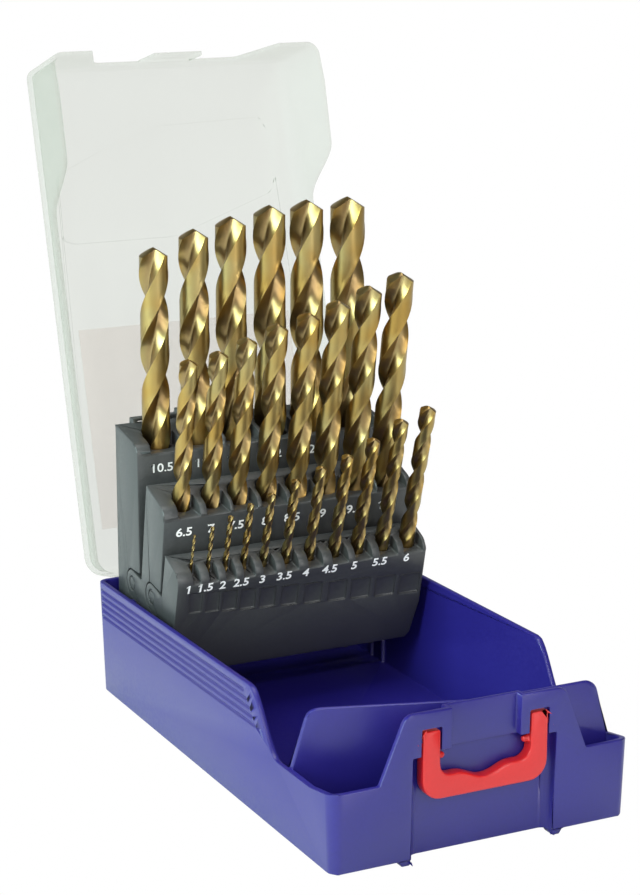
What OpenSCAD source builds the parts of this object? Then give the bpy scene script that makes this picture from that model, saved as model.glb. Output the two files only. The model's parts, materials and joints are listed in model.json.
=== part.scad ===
// Drill bit case: a blue tray, a clear hinged lid, a red folding handle and three
// folding racks that lift twenty-five twist drills as the lid opens.
// The case is drawn open. Heights inside the modules count from the tray's underside,
// and the middle of the tray is at x = 0, y = 0; place() then stands the case on its
// feet with the middle of the open case over the origin.

/* [Case] */
// Width over the rim
case_w = 110; // [108:0.5:130]
// Depth over the rim, front to back
case_d = 191; // [189:0.5:230]
// Height of the rim at the back
rim_z = 42.5; // [42:0.1:46]
// How much the side rims climb on their way to the front
rim_rise = 2; // [1:0.1:3]
// Distance from the front of the case to the high part of the side rims
kink_front = 58.5; // [57:0.5:62]
// Height of the low part of the side rims, at the front
low_rim_z = 24.6; // [23:0.1:27]
// Height of the low rim across the front
front_rim_z = 26.8; // [26:0.1:28]
// How far the walls lean in, per mm of height
draft = 0.031; // [0.02:0.001:0.035]
// Corner radius at the back
rear_r = 4; // [3:0.5:6]
// Corner radius at the front
front_r = 5; // [4:0.5:7]
// Wall of the tray
tray_wall = 2; // [1.6:0.1:2.2]
// Floor of the tray
tray_floor = 1.8; // [1.2:0.1:1.8]
// Height of the four feet
foot_h = 2; // [1:0.1:3]
// Wall across the tray behind the front panel
partition_t = 1.6; // [1.2:0.1:2]
// Height of that wall
partition_z = 44.5; // [42:0.1:46]

/* [Front panel] */
// Top of the front panel
panel_top_z = 48.8; // [47.5:0.1:50]
// Half width of the panel at the low rim
panel_half_low = 37.5; // [36:0.1:39]
// Half width of the panel at its shoulders
panel_half_top = 29.5; // [28:0.1:31]
// Half width of the thumb channel down the panel
channel_half = 12.5; // [11:0.1:13]
// Depth of the thumb channel
channel_depth = 3; // [2.6:0.1:3.2]
// Half width of the bay that the handle folds into
bay_half = 26; // [25.5:0.1:27]
// Top of the bay beside the handle's arms
bay_top_z = 34; // [33:0.1:35]

/* [Handle] */
// Half width of the handle
handle_half = 22.6; // [21.5:0.1:23]
// Width of its arms
handle_arm = 6.2; // [5.5:0.1:6.5]
// Thickness, front to back
handle_t = 4.6; // [4:0.1:4.8]
// Top of the arms
handle_top_z = 42.2; // [41.5:0.1:42.6]
// Bottom of the grip
handle_bottom_z = 19.2; // [17:0.1:21]
// Height of the pivots
handle_pivot_z = 38.4; // [38:0.1:39]
// Radius of the pivots
handle_pivot_r = 1.4; // [1.2:0.1:1.6]

/* [Lid] */
// Angle that the open lid has turned through from shut
lid_open_angle = 104.4; // [95:0.1:106]
// Height of the roof above the rims
lid_roof_h = 14.5; // [14.3:0.1:18]
// How far the lid's plan reaches behind the tray's, over the hinges
lid_back = 4; // [3.6:0.1:4.2]
// Corner radius of the lid at the back
lid_rear_r = 9; // [7:0.5:10]
// Wall of the lid
lid_wall = 1.6; // [1.4:0.1:1.8]
// Gap between the lid's edge and the tray's rim when shut
seam_gap = 0.3; // [0.2:0.05:0.5]
// Gap round the front panel when shut
panel_gap = 0.5; // [0.4:0.05:0.8]

/* [Hinges] */
// Distance of the hinge axis behind the rear rim
hinge_back = 2.3; // [2.3:0.1:2.6]
// Height of the hinge axis
hinge_z = 42.4; // [42:0.1:42.5]
// Distance of each hinge from the middle
hinge_x = 30; // [20:1:38]
// Length of the tray's knuckle
tray_knuckle = 8; // [6:0.5:12]
// Length of each of the lid's knuckles
lid_knuckle = 6; // [4:0.5:8]
// Radius of the knuckles
knuckle_r = 2.6; // [2.4:0.1:2.7]
// Radius of the hinge pins
pin_r = 1.1; // [0.9:0.05:1.2]

/* [Racks] */
// Space between the racks' cheeks and the tray's rim
rack_side_gap = 5.55; // [5.3:0.05:6]
// Distance of the fold axis from the back of the case
fold_back = 24.5; // [24:0.1:25]
// Height of the fold axis
fold_z = 37.9; // [37.7:0.05:38]
// Radius of the fold axis pins
trunnion_r = 2.2; // [2:0.1:2.3]
// Depth of the rear rack, front to back
rear_depth = 20.6; // [19.5:0.1:20.6]
// Depth of the middle rack
mid_depth = 17.3; // [16.5:0.1:17.6]
// Depth of the front rack
front_depth = 12.8; // [12:0.1:13]
// Height of the rear rack's front edge
rear_top_z = 99; // [95:0.5:101]
// Height of the middle rack's front edge
mid_top_z = 85.6; // [83:0.1:88]
// Height of the front rack's front edge
front_top_z = 68.5; // [67:0.1:70]
// How far the middle rack leans from the rear one when open
mid_lean = 9.5; // [7:0.1:10]
// How far the front rack leans from the middle one when open
front_lean = 4; // [3:0.1:4.5]
// Wall of the racks
rack_wall = 1.6; // [1.4:0.1:1.8]
// Thickness of the ears that link the racks
ear_t = 2; // [1.8:0.1:2]
// Radius of the ears
ear_r = 5; // [4.6:0.1:5]
// Radius of the studs that the ears turn on
stud_r = 2.5; // [2:0.1:2.6]

/* [Drills] */
// Lead of a flute, in diameters
flute_lead = 5.44; // [4.5:0.01:7]
// Included angle of the drill points
point_angle = 118; // [110:1:140]
// Space round a shank in its hole
shank_gap = 0.08; // [0.05:0.01:0.1]

/* [Hidden] */
// Twist drills of each rack, from left to right:
// diameter, overall length, flute length, place across the rack as a share of its half
// width, length that stands out
REAR_DRILLS = [
    [10.5, 133, 87, -0.7604, 67.5],
    [11, 142, 94, -0.4449, 73],
    [11.5, 142, 94, -0.1496, 76.5],
    [12, 151, 101, 0.1638, 79.5],
    [12.5, 151, 101, 0.4692, 80.5],
    [13, 151, 101, 0.8089, 80.5]
];
MID_DRILLS = [
    [6.5, 101, 63, -0.7988, 51.5],
    [7, 109, 69, -0.5703, 53.5],
    [7.5, 109, 69, -0.3559, 57.5],
    [8, 117, 75, -0.1254, 61.5],
    [8.5, 117, 75, 0.1173, 64.5],
    [9, 125, 81, 0.3478, 68],
    [9.5, 125, 81, 0.5905, 72.5],
    [10, 133, 87, 0.8372, 76.5]
];
FRONT_DRILLS = [
    [1, 34, 12, -0.8493, 12],
    [1.5, 40, 18, -0.7159, 14.5],
    [2, 49, 24, -0.5824, 18],
    [2.5, 57, 30, -0.4368, 22],
    [3, 61, 33, -0.2791, 25],
    [3.5, 70, 39, -0.1011, 29.5],
    [4, 75, 43, 0.089, 33.5],
    [4.5, 80, 47, 0.2912, 37],
    [5, 86, 52, 0.4813, 42.5],
    [5.5, 93, 57, 0.6876, 49],
    [6, 93, 57, 0.8938, 53]
];
ROWS = [REAR_DRILLS, MID_DRILLS, FRONT_DRILLS];

function size_name(d) = d == floor(d) ? str(d) : str(floor(d), "_5");
function drill_name(d) = str("drill_", size_name(d));

round_fn = 48;
corner_steps = 6;
far = 400;
join = 0.5;
run_gap = 0.06;

// Tray
half_w = case_w / 2;
half_d = case_d / 2;
rim_drop_len = 20;
rim_dip_len = 23;
kink_y = -half_d + kink_front;
rim_drop_y = kink_y - rim_drop_len;
rim_dip_y = rim_drop_y - rim_dip_len;
closed_tilt = atan(rim_rise / (half_d - kink_y));
front_y = -half_d;
panel_r = 4;
shoulder_z = panel_top_z - 1.9;

// Handle, its bay and the slots that its arms swing back through
bay_depth = handle_t + 0.3;
bay_wall = 1.6;
bay_back_y = front_y + bay_depth;
grip_top_z = bay_top_z + 1.2;
slot_in = handle_half - handle_arm - 0.5;
slot_out = handle_half + 0.4;
handle_y = front_y + handle_t / 2;
arm_reach = norm([handle_top_z - handle_pivot_z, handle_t / 2]);
slot_top_z = handle_pivot_z + arm_reach + 0.3;
pivot_len = 2;
pivot_end_gap = 0.2;
pivot_boss_r = 3;
channel_back_y = front_y + channel_depth;
channel_wall = 1.5;
foot_x = bay_half + 1.6;
foot_half = 2.6;
foot_tip_half = 1.2;
foot_len = 5;

// Partition
partition_gap = 4.8;
partition_y = max(handle_y + arm_reach, bay_back_y + bay_wall) + partition_gap + partition_t;
partition_kink_x = 6;
partition_slope = 0.333;
partition_top_half = half_w - 7.5;
partition_r = 5;

// Lid
hinge = [half_d + hinge_back, hinge_z];
lid_low_z = front_rim_z - 4;
roof_edge = 3;
roof_emboss = 0.8;
tongue_half = 9.75;
tongue_t = 1.8;
tongue_gap = 0.8;
knuckle_gap = 0.2;
notch_gap = 0.25;

// Racks. Each point is [y, z] with the rear rack upright and the others folded onto it.
rack_half = half_w - rack_side_gap;
rack_gap = 0.8;
top_slope = 0.2;
edge_r = 5;
fold = [half_d - fold_back, fold_z];
stud_1 = fold + [3.6, 8.4];
stud_2 = fold + [-14, 11.15];
rear_front = fold[0] - 3.7;
rear_back = rear_front + rear_depth;
mid_back = rear_front - rack_gap;
mid_front = mid_back - mid_depth;
front_back = mid_front - rack_gap;
front_front = front_back - front_depth;
rack_bottom_z = fold[1] - 9.9;
front_bottom_z = fold[1] - 7.4;
sleeve_bottom_z = fold[1] - 12.9;
mid_knee_z = stud_1[1] + 1.7;
front_knee_z = stud_2[1];
rear_axis = rear_back - 10.3;
mid_axis = mid_back - 8.7;
front_axis = front_back - 6.4;
front_bore_tilt = 3;
sleeve_wall = 1.2;
sleeve_over = 20;
ear_reach = 12;
cheek_x = rack_half - ear_t;
sleeve_half = cheek_x - 0.3;
recess_gap = 0.3;
boss_gap = 0.5;
trunnion_len = 3.9;
trunnion_end_gap = 0.2;
boss_r = 3.2;
mouth_drop = 3.2;
mouth_gap = 0.9;

// The open case's middle, which goes over the origin
function turned(p, c, a) =
    c + [(p[0] - c[0]) * cos(a) - (p[1] - c[1]) * sin(a), (p[0] - c[0]) * sin(a) + (p[1] - c[1]) * cos(a)];
roof_corner = hinge + [front_y - hinge[0] + roof_edge, closed_roof_z() - hinge[1]];
origin_y = (turned(roof_corner, hinge, -lid_open_angle)[0] + front_y) / 2;
function closed_roof_z() = hinge[1] + lid_roof_h + case_d * sin(closed_tilt);

// ---------- shapes ----------

function unit(v) = v / norm(v);

// Points that round the corner b between a and c
function fillet(a, b, c, r) =
    r <= 0 ? [b] :
    let (u = unit(a - b), v = unit(c - b), half = acos(u * v) / 2, o = b + unit(u + v) * r / sin(half))
    let (p = b + u * r / tan(half) - o, q = b + v * r / tan(half) - o)
    let (a0 = atan2(p[1], p[0]), turn = atan2(q[1], q[0]) - a0)
    let (sweep = turn > 180 ? turn - 360 : turn < -180 ? turn + 360 : turn)
    [for (i = [0:corner_steps]) let (t = a0 + sweep * i / corner_steps) o + r * [cos(t), sin(t)]];

// A polygon with each corner rounded by its own radius
function rounded(points, radii) =
    let (n = len(points))
    [for (i = [0:n - 1]) each fillet(points[(i + n - 1) % n], points[i], points[(i + 1) % n], radii[i])];

// An outline in y and z, drawn out along x
module across(x0, x1) {
    translate([x0, 0, 0])
        rotate([90, 0, 90])
            linear_extrude(x1 - x0)
                children();
}

// An outline in x and z, drawn out along y
module along(y0, y1) {
    translate([0, y1, 0])
        rotate([90, 0, 0])
            linear_extrude(y1 - y0)
                children();
}

// A cylinder along x, centred on a point in y and z
module rod(x0, x1, p, r) {
    translate([x0, p[0], p[1]])
        rotate([0, 90, 0])
            cylinder(h = x1 - x0, r = r, $fn = round_fn);
}

module mirrored() {
    children();
    mirror([1, 0, 0])
        children();
}

// Plan of the case, drawn in by inset all round, or of the lid with its longer back
module plan(inset, back, back_r) {
    x = half_w - inset;
    y = half_d - inset;
    r1 = max(front_r - inset, 1);
    r2 = max(back_r - inset, 1);
    polygon(rounded([[-x, -y], [x, -y], [x, y + back], [-x, y + back]], [r1, r1, r2, r2]));
}

// Slab of that plan, for the ends of a hull
module slab(inset, z, back = 0, back_r = rear_r) {
    translate([0, 0, z])
        linear_extrude(0.01)
            plan(inset, back, back_r);
}

// ---------- tray ----------

// Height of the side rims at y
function rim(y) =
    y > kink_y ? rim_z + rim_rise * (half_d - y) / (half_d - kink_y) :
    y > rim_drop_y ? low_rim_z + (rim_z + rim_rise - low_rim_z) * (1 + cos(180 * (kink_y - y) / (kink_y - rim_drop_y))) / 2 :
    y > rim_dip_y ? low_rim_z :
    low_rim_z + (front_rim_z - low_rim_z) * min((rim_dip_y - y) / (rim_dip_y - front_y), 1);

rim_steps = 14;
rim_points = [
    [far, rim(half_d) - rim_rise * (far - half_d) / (half_d - kink_y)],
    for (i = [0:rim_steps]) let (y = kink_y - (kink_y - rim_drop_y) * i / rim_steps) [y, rim(y)],
    [rim_dip_y, low_rim_z],
    [front_y + tray_wall, front_rim_z],
    [-far, front_rim_z]
];

// Everything above the rims, raised by lift
module over_rim(lift = 0) {
    across(-far, far)
        polygon([for (p = rim_points) p + [0, lift], [-far, far], [far, far]]);
}

// Outline of the front panel, grown by gap
module panel_outline(gap) {
    low = panel_half_low + gap;
    top = panel_half_top + gap;
    skirt = low + (panel_half_low - panel_half_top) * front_rim_z / (shoulder_z - front_rim_z);
    half = top - (low - top) * (panel_top_z + gap - shoulder_z) / (shoulder_z - front_rim_z);
    z = panel_top_z + gap;
    polygon(rounded([[-skirt, 0], [skirt, 0], [half, z], [-half, z]], [0, 0, panel_r, panel_r]));
}

module tray_outside() {
    hull() {
        slab(draft * rim_z, 0);
        slab(-draft * (panel_top_z - rim_z), panel_top_z);
    }
}

module tray_inside() {
    hull() {
        slab(draft * (rim_z - tray_floor) + tray_wall, tray_floor);
        slab(-draft * (panel_top_z - rim_z) + tray_wall, panel_top_z + 1);
    }
}

// Plan of the handle's bay: its inner corners are round
module bay_plan(grow) {
    translate([0, 0, -1])
        linear_extrude(far)
            polygon(rounded(
                [[-bay_half - grow, front_y - 5], [bay_half + grow, front_y - 5],
                 [bay_half + grow, bay_back_y + grow], [-bay_half - grow, bay_back_y + grow]],
                [0, 0, 4 + grow, 4 + grow]
            ));
}

module bay_housing() {
    intersection() {
        bay_plan(bay_wall);
        translate([-far / 2, front_y - 5, 0])
            cube([far, far, bay_top_z + bay_wall + 1]);
    }
    translate([-channel_half - bay_wall, front_y, tray_floor])
        cube([2 * (channel_half + bay_wall), channel_depth + channel_wall, panel_top_z - tray_floor]);
    mirrored()
        rod(slot_out, bay_half + bay_wall, [handle_y, handle_pivot_z], pivot_boss_r);
}

module bay_cuts() {
    intersection() {
        bay_plan(0);
        union() {
            translate([-far / 2, front_y - 5, -1])
                cube([far, far, bay_top_z + 1]);
            translate([-slot_out, front_y - 5, -1])
                cube([2 * slot_out, far, grip_top_z + 1]);
        }
    }
    mirrored()
        translate([slot_in, front_y - 5, bay_top_z - join])
            cube([slot_out - slot_in, 5 + bay_depth + bay_wall + 5, slot_top_z - bay_top_z + join]);
    translate([-channel_half, front_y - 5, grip_top_z - join])
        cube([2 * channel_half, 5 + channel_depth, far]);
    mirrored()
        rod(slot_out - join, handle_half + pivot_len + pivot_end_gap, [handle_y, handle_pivot_z], handle_pivot_r + run_gap);
}

module partition() {
    left_y = partition_y + partition_slope * (half_w + partition_kink_x);
    side_z = partition_z - 4.5;
    low_half = partition_top_half + (side_z - low_rim_z) * 0.35;
    intersection() {
        linear_extrude(far)
            polygon([
                [-half_w, left_y - partition_t], [partition_kink_x, partition_y - partition_t],
                [half_w, partition_y - partition_t], [half_w, partition_y],
                [partition_kink_x, partition_y], [-half_w, left_y]
            ]);
        along(-half_d, half_d)
            polygon(rounded(
                [[-low_half, 0], [low_half, 0], [low_half, low_rim_z],
                 [partition_top_half, partition_z], [-partition_top_half, partition_z], [-low_half, low_rim_z]],
                [0, 0, 2, partition_r, partition_r, 2]
            ));
        tray_outside();
    }
}

groove_count = 5;
groove_pitch = 2.5;
groove_depth = 0.5;
groove_w = 1;

// Grooves under the left rim, each a little longer than the one above
module rim_grooves() {
    for (i = [0:groove_count - 1]) {
        z = rim_z - 3.6 - groove_pitch * i;
        x = half_w - draft * (rim_z - z);
        y0 = kink_y + 3.5 - 2 * i;
        y1 = half_d - rear_r;
        rise = rim_rise * (y1 - y0) / (half_d - kink_y);
        across(-x - 1, -x + groove_depth)
            polygon([[y0, z + rise], [y1, z], [y1, z + groove_w], [y0, z + rise + groove_w]]);
    }
}

module foot() {
    along(-foot_len / 2, foot_len / 2)
        polygon([
            [-foot_half, join], [-foot_half, 0], [-foot_tip_half, -foot_h],
            [foot_tip_half, -foot_h], [foot_half, 0], [foot_half, join]
        ]);
}

foot_y = half_d - draft * rim_z - foot_len / 2 - 0.4;

module tray_knuckles() {
    for (side = [-1, 1])
        translate([side * hinge_x - tray_knuckle / 2, 0, 0]) {
            rod(0, tray_knuckle, hinge, knuckle_r);
            across(0, tray_knuckle)
                polygon([
                    [half_d - tray_wall / 2, hinge[1] - 8], [hinge[0], hinge[1] - knuckle_r],
                    [hinge[0], hinge[1]], [half_d - tray_wall / 2, hinge[1]]
                ]);
        }
}

// Room in the rear walls for the other part's knuckles
module knuckle_notches(at_tray) {
    for (side = [-1, 1]) {
        x = side * hinge_x;
        reach = knuckle_r + notch_gap;
        half = tray_knuckle / 2;
        if (at_tray) {
            rod(x - half - knuckle_gap - lid_knuckle - 0.2, x - half - 0.01, hinge, reach);
            rod(x + half + 0.01, x + half + knuckle_gap + lid_knuckle + 0.2, hinge, reach);
        } else {
            rod(x - half - knuckle_gap, x + half + knuckle_gap, hinge, reach);
        }
    }
}

rib_x = 1.2;
rib_t = 1.4;
rib_z = 11;
// Behind the fold axis
rib_places = [-3, 6];

module side_ribs() {
    for (y = rib_places)
        translate([half_w - draft * rim_z - tray_wall - rib_x, fold[0] + y, 0])
            cube([rib_x + tray_wall - join, rib_t, rib_z]);
}

module tray() {
    color([0.33, 0.34, 0.66])
        difference() {
            union() {
                difference() {
                    tray_outside();
                    tray_inside();
                    difference() {
                        over_rim();
                        along(front_y - 5, front_y + tray_wall + 1)
                            panel_outline(0);
                    }
                }
                intersection() {
                    tray_outside();
                    bay_housing();
                }
                partition();
                mirrored()
                    rod(rack_half + boss_gap, half_w - 1, fold, boss_r);
                mirrored()
                    side_ribs();
                tray_knuckles();
                for (y = [-foot_y, foot_y])
                    mirrored()
                        translate([foot_x, y, 0])
                            foot();
            }
            bay_cuts();
            rim_grooves();
            knuckle_notches(true);
            mirrored()
                rod(rack_half, rack_half + trunnion_len + trunnion_end_gap, fold, trunnion_r + run_gap);
            for (side = [-1, 1])
                rod(side * hinge_x - half_w, side * hinge_x + half_w, hinge, pin_r + run_gap);
        }
}

// ---------- handle ----------

grip_wave = 1.4;
grip_half_wave = 10;
grip_h = 7.6;

// Top of the grip, with two humps and a dip for the finger
function grip_top(x) = handle_bottom_z + grip_h - grip_wave * (1 + cos(180 * x / grip_half_wave));

module handle_outline() {
    inner = handle_half - handle_arm;
    difference() {
        polygon(rounded(
            [[-handle_half, handle_bottom_z], [handle_half, handle_bottom_z],
             [handle_half, handle_top_z], [-handle_half, handle_top_z]],
            [6.5, 6.5, 0.8, 0.8]
        ));
        polygon(concat(
            [[inner, far], [-inner, far]],
            fillet([-inner, far], [-inner, handle_bottom_z + grip_h], [0, handle_bottom_z + grip_h], 4),
            [for (i = [0:20]) let (x = grip_half_wave * (i / 10 - 1)) [x, grip_top(x)]],
            fillet([0, handle_bottom_z + grip_h], [inner, handle_bottom_z + grip_h], [inner, far], 4)
        ));
    }
}

nub_r = 1.1;
nub_len = 1.2;
nub_z = bay_top_z - 0.9;

module handle() {
    inner = handle_half - handle_arm;
    color([0.92, 0.29, 0.24]) {
        along(front_y, front_y + handle_t)
            handle_outline();
        mirrored() {
            rod(handle_half - join, handle_half + pivot_len, [handle_y, handle_pivot_z], handle_pivot_r);
            rod(inner - nub_len, inner + join, [handle_y, nub_z], nub_r);
            translate([inner - nub_len, handle_y, nub_z])
                sphere(r = nub_r, $fn = 32);
        }
    }
}

// ---------- lid ----------

// Its own frame lies along the side rims; shut() sets it on the shut case
module shut() {
    translate([0, hinge[0], hinge[1]])
        rotate([-closed_tilt, 0, 0])
            translate([0, -hinge[0], 0])
                children();
}

module lid_outside(inset) {
    top = lid_roof_h - inset;
    low = lid_low_z - rim_z - 4;
    in_at_top = draft * (lid_roof_h - low) + inset;
    hull() {
        slab(inset, low - (inset > 0 ? 1 : 0), lid_back, lid_rear_r);
        slab(in_at_top, top - roof_edge, lid_back, lid_rear_r);
        slab(in_at_top + roof_edge * 0.3, top - roof_edge * 0.3, lid_back, lid_rear_r);
        slab(in_at_top + roof_edge, top - 0.01, lid_back, lid_rear_r);
    }
}

// Outline of the raised field on the roof, in x and in distance from the hinge
field_points = [
    [-45.5, 152], [-46.2, 127.5], [-42, 125.6], [0, 125.6],
    [42.4, 140], [45.4, 144.6], [44, 166.5], [41, 170], [-2, 168.6], [-28, 159.8]
];
field_radii = [3, 2, 6, 20, 5, 3, 3, 4, 20, 20];
label_half = 44.2;
label_near = 17;
label_far = 93;
label_t = 0.2;
label_recess = 0.3;

module roof_field(z0, z1) {
    translate([0, hinge[0], z0])
        linear_extrude(z1 - z0)
            polygon(rounded([for (p = field_points) [p[0], -p[1]]], field_radii));
}

module label_sheet(grow, z0, z1) {
    translate([-label_half - grow, hinge[0] - label_far - grow, z0])
        cube([2 * (label_half + grow), label_far - label_near + 2 * grow, z1 - z0]);
}

module lid_knuckles() {
    for (side = [-1, 1])
        for (end = [-1, 1]) {
            x = side * hinge_x + end * (tray_knuckle / 2 + knuckle_gap + lid_knuckle / 2) - lid_knuckle / 2;
            rod(x, x + lid_knuckle, hinge, knuckle_r);
        }
}

module lid_tongue() {
    y0 = front_y + 0.3;
    translate([-tongue_half, y0, grip_top_z + tongue_gap])
        cube([2 * tongue_half, tongue_t, panel_top_z + 4 - grip_top_z - tongue_gap]);
}

module lid_shut() {
    difference() {
        union() {
            difference() {
                shut() {
                    difference() {
                        union() {
                            lid_outside(0);
                            roof_field(lid_roof_h - 1, lid_roof_h + roof_emboss);
                        }
                        lid_outside(lid_wall);
                        roof_field(0, lid_roof_h - lid_wall + roof_emboss);
                        label_sheet(0.3, lid_roof_h - label_recess, far);
                    }
                }
                along(front_y - 5, front_y + 8)
                    panel_outline(panel_gap);
                difference() {
                    translate([-far / 2, -far / 2, -far / 2])
                        cube(far);
                    over_rim(seam_gap);
                }
            }
            lid_knuckles();
            lid_tongue();
        }
        knuckle_notches(false);
        for (side = [-1, 1])
            rod(side * hinge_x - half_w / 2, side * hinge_x + half_w / 2, hinge, pin_r + run_gap);
    }
}

// Lays the shut lid open
module opened() {
    translate([0, hinge[0], hinge[1]])
        rotate([-lid_open_angle, 0, 0])
            translate([0, -hinge[0], -hinge[1]])
                children();
}

module lid() {
    color([0.88, 0.9, 0.87, 0.45])
        opened()
            lid_shut();
}

module lid_label() {
    color([0.86, 0.74, 0.7])
        opened()
            shut()
                label_sheet(0, lid_roof_h - label_recess, lid_roof_h - label_recess + label_t);
}

module hinge_pins() {
    reach = tray_knuckle / 2 + knuckle_gap + lid_knuckle;
    color([0.75, 0.75, 0.77])
        for (side = [-1, 1])
            rod(side * hinge_x - reach, side * hinge_x + reach, hinge, pin_r);
}

// ---------- racks ----------

// Turns its children about a point in y and z
module about(p, a) {
    translate([0, p[0], p[1]])
        rotate([a, 0, 0])
            translate([0, -p[0], -p[1]])
                children();
}

module lean_mid() {
    about(stud_1, mid_lean)
        children();
}

module lean_front() {
    lean_mid()
        about(stud_2, front_lean)
            children();
}

function rear_profile() = [
    [rear_front, rack_bottom_z], [rear_back, rack_bottom_z],
    [rear_back, rear_top_z + top_slope * rear_depth], [rear_front, rear_top_z]
];
function mid_profile() = [
    [mid_front, rack_bottom_z],
    [mid_back - (mid_knee_z - rack_bottom_z) * tan(mid_lean), rack_bottom_z],
    [mid_back, mid_knee_z],
    [mid_back, mid_top_z + top_slope * mid_depth], [mid_front, mid_top_z]
];
function front_profile() = [
    [front_front, front_bottom_z],
    [front_front + 3, sleeve_bottom_z],
    [front_back - (front_knee_z - sleeve_bottom_z) * tan(front_lean + 2), sleeve_bottom_z],
    [front_back, front_knee_z],
    [front_back, front_top_z + top_slope * front_depth], [front_front, front_top_z]
];

// The same outline with its last two corners, the upper edges, rounded
module rack_outline(profile) {
    n = len(profile);
    polygon(rounded(profile, [for (i = [0:n - 1]) i == n - 1 ? edge_r : i == n - 2 ? 0.8 : 0]));
}

// The hollow inside a rack, open below; its roof lies under the drills' mouths.
// The corner numbered low is the outline's lowest one at the back.
module rack_hollow(profile, low) {
    n = len(profile);
    w = rack_wall;
    front = profile[n - 1];
    back = profile[n - 2];
    roof = front[1] - mouth_drop - w;
    polygon([
        [front[0] + w, -far], [profile[low][0] - w, -far],
        for (i = [low:n - 3]) profile[i] - [w, 0],
        [back[0] - w, roof], [front[0] + w, roof]
    ]);
}

function place_x(drill) = drill[3] * rack_half;

// Moves its children to a drill's place: on the bore's axis, where the bore meets the rack's top
module at_bore(drill, axis_y, top_z, front, tilt) {
    translate([place_x(drill), axis_y, top_z + top_slope * (axis_y - front)])
        rotate([tilt, 0, 0])
            children();
}

// Sleeves that the shanks stand in, each closed below and joined to the rack's back wall,
// no wider than half to either side
module rack_sleeves(drills, axis_y, top_z, front, tilt, profile, half) {
    intersection() {
        across(-half, half)
            rack_outline(profile);
        union()
            for (drill = drills)
                at_bore(drill, axis_y, top_z, front, tilt) {
                    depth = drill[1] - drill[4] + sleeve_wall;
                    r = drill[0] / 2 + sleeve_wall;
                    translate([0, 0, -depth])
                        cylinder(h = depth + sleeve_over, r = r, $fn = round_fn);
                    translate([-r, 0, -depth])
                        cube([2 * r, rear_depth, depth + sleeve_over]);
                }
    }
}

// Bores, and the mouth that shows each drill at the rack's front edge
module rack_bores(drills, axis_y, top_z, front, tilt) {
    for (drill = drills)
        at_bore(drill, axis_y, top_z, front, tilt) {
            translate([0, 0, drill[4] - drill[1]])
                cylinder(h = drill[1] + 10, r = drill[0] / 2 + shank_gap, $fn = round_fn);
            r = drill[0] / 2 + mouth_gap;
            translate([-r, -20, -mouth_drop - top_slope * (axis_y - front)])
                cube([2 * r, 20, 40]);
        }
}

// An ear: a round end on the stud and an arm forward to its own rack's cheek.
// With a turn, the outline that the ear sweeps.
module ear_outline(stud, reach, grow, turn = 0) {
    r = ear_r + grow;
    translate(stud)
        circle(r = r, $fn = round_fn);
    polygon([
        stud, stud + [0, r], stud + [-reach, r],
        turned(stud + [-reach, -r], stud, turn), turned(stud + [0, -r], stud, turn)
    ]);
}

// Room in the cheek for the next rack's ear
module ear_recess(stud, reach, turn) {
    mirrored()
        across(cheek_x, rack_half + 1)
            ear_outline(stud, reach, recess_gap, turn);
}

// The cheek's wall behind that recess
module ear_pad(stud, reach, turn) {
    mirrored()
        across(cheek_x - rack_wall, rack_half - rack_wall + join)
            ear_outline(stud, reach, recess_gap + rack_wall, turn);
}

module ear_stud(stud) {
    mirrored()
        rod(cheek_x - join, rack_half - 0.1, stud, stud_r);
}

module ears(stud, reach) {
    mirrored()
        difference() {
            across(cheek_x + 0.05, rack_half)
                ear_outline(stud, reach, 0);
            rod(cheek_x - 1, rack_half + 1, stud, stud_r + run_gap);
        }
}

module rack_shell(profile, low) {
    difference() {
        across(-rack_half, rack_half)
            rack_outline(profile);
        across(-rack_half + rack_wall, rack_half - rack_wall)
            rack_hollow(profile, low);
    }
}

lug_w = 20;
lug_t = 1.3;

// Lugs behind the rear rack's top, which the lid lifts it by
module lift_lugs() {
    z = rear_top_z + top_slope * rear_depth;
    for (x = [-33.3, 32])
        difference() {
            union() {
                translate([x - lug_w / 2, rear_back - rack_wall, z - 6])
                    cube([lug_w, rack_wall + lug_t, 7.5]);
                translate([x + lug_w / 2 - 2.4, rear_back - rack_wall, z - 6])
                    cube([2.4, rack_wall + lug_t, 9.3]);
            }
            translate([x - lug_w / 2 + 2, rear_back - 5, z - 0.6])
                cube([lug_w - 6, 10, 1]);
        }
}

module rear_rack() {
    color([0.23, 0.24, 0.25]) {
        difference() {
            union() {
                rack_shell(rear_profile(), 1);
                rack_sleeves(REAR_DRILLS, rear_axis, rear_top_z, rear_front, 0, rear_profile(), sleeve_half);
                intersection() {
                    across(-rack_half, rack_half)
                        rack_outline(rear_profile());
                    ear_pad(stud_1, ear_reach, mid_lean);
                }
                lift_lugs();
            }
            rack_bores(REAR_DRILLS, rear_axis, rear_top_z, rear_front, 0);
            ear_recess(stud_1, ear_reach, mid_lean);
        }
        ear_stud(stud_1);
        mirrored()
            rod(rack_half - join, rack_half + trunnion_len, fold, trunnion_r);
    }
}

module middle_rack() {
    color([0.23, 0.24, 0.25])
        lean_mid() {
            difference() {
                union() {
                    rack_shell(mid_profile(), 1);
                    rack_sleeves(MID_DRILLS, mid_axis, mid_top_z, mid_front, 0, mid_profile(), sleeve_half);
                    intersection() {
                        across(-rack_half, rack_half)
                            rack_outline(mid_profile());
                        ear_pad(stud_2, ear_reach, front_lean);
                    }
                }
                rack_bores(MID_DRILLS, mid_axis, mid_top_z, mid_front, 0);
                ear_recess(stud_2, ear_reach, front_lean);
            }
            ear_stud(stud_2);
            ears(stud_1, ear_reach);
        }
}

ledge_left_z = 53.5;
ledge_right_z = 48;
pocket_h = 8;
pocket_depth = 0.5;

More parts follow.
